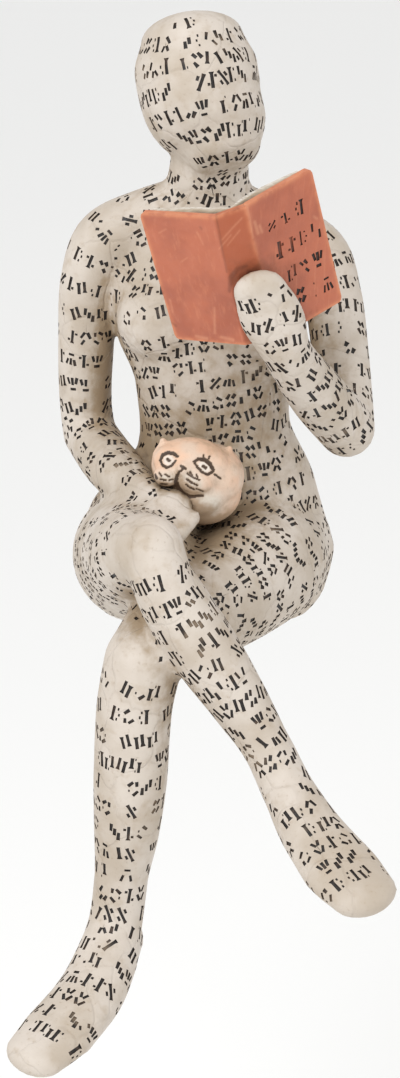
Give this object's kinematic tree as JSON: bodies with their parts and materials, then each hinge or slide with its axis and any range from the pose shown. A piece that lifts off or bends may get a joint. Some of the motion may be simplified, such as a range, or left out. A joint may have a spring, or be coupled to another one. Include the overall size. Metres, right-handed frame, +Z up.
{
  "type": "figurine",
  "caption": "Seated figurine with crossed hanging legs that reads an open book with a cat on the lap, for the edge of a shelf.",
  "frame": {"origin": "in the flat underside of the seat, under the middle of the hips", "axes": "+Z up, the figure faces -Y, +X to the viewer's right; the seat lies in Z = 0 and the legs hang below it"},
  "size_m": [0.0608, 0.0882, 0.1589],
  "materials": {
    "printed_resin": "hand-painted cast resin, off-white with a brown antique wash in the hollows",
    "book_orange": "hand-painted cast resin, terracotta with lighter worn edges",
    "cat_resin": "hand-painted cast resin, peach and grey-white with brown drawn lines"
  },
  "bodies": {
    "root": {"reading_woman_figurine": "printed_resin"}
  },
  "joints": []
}
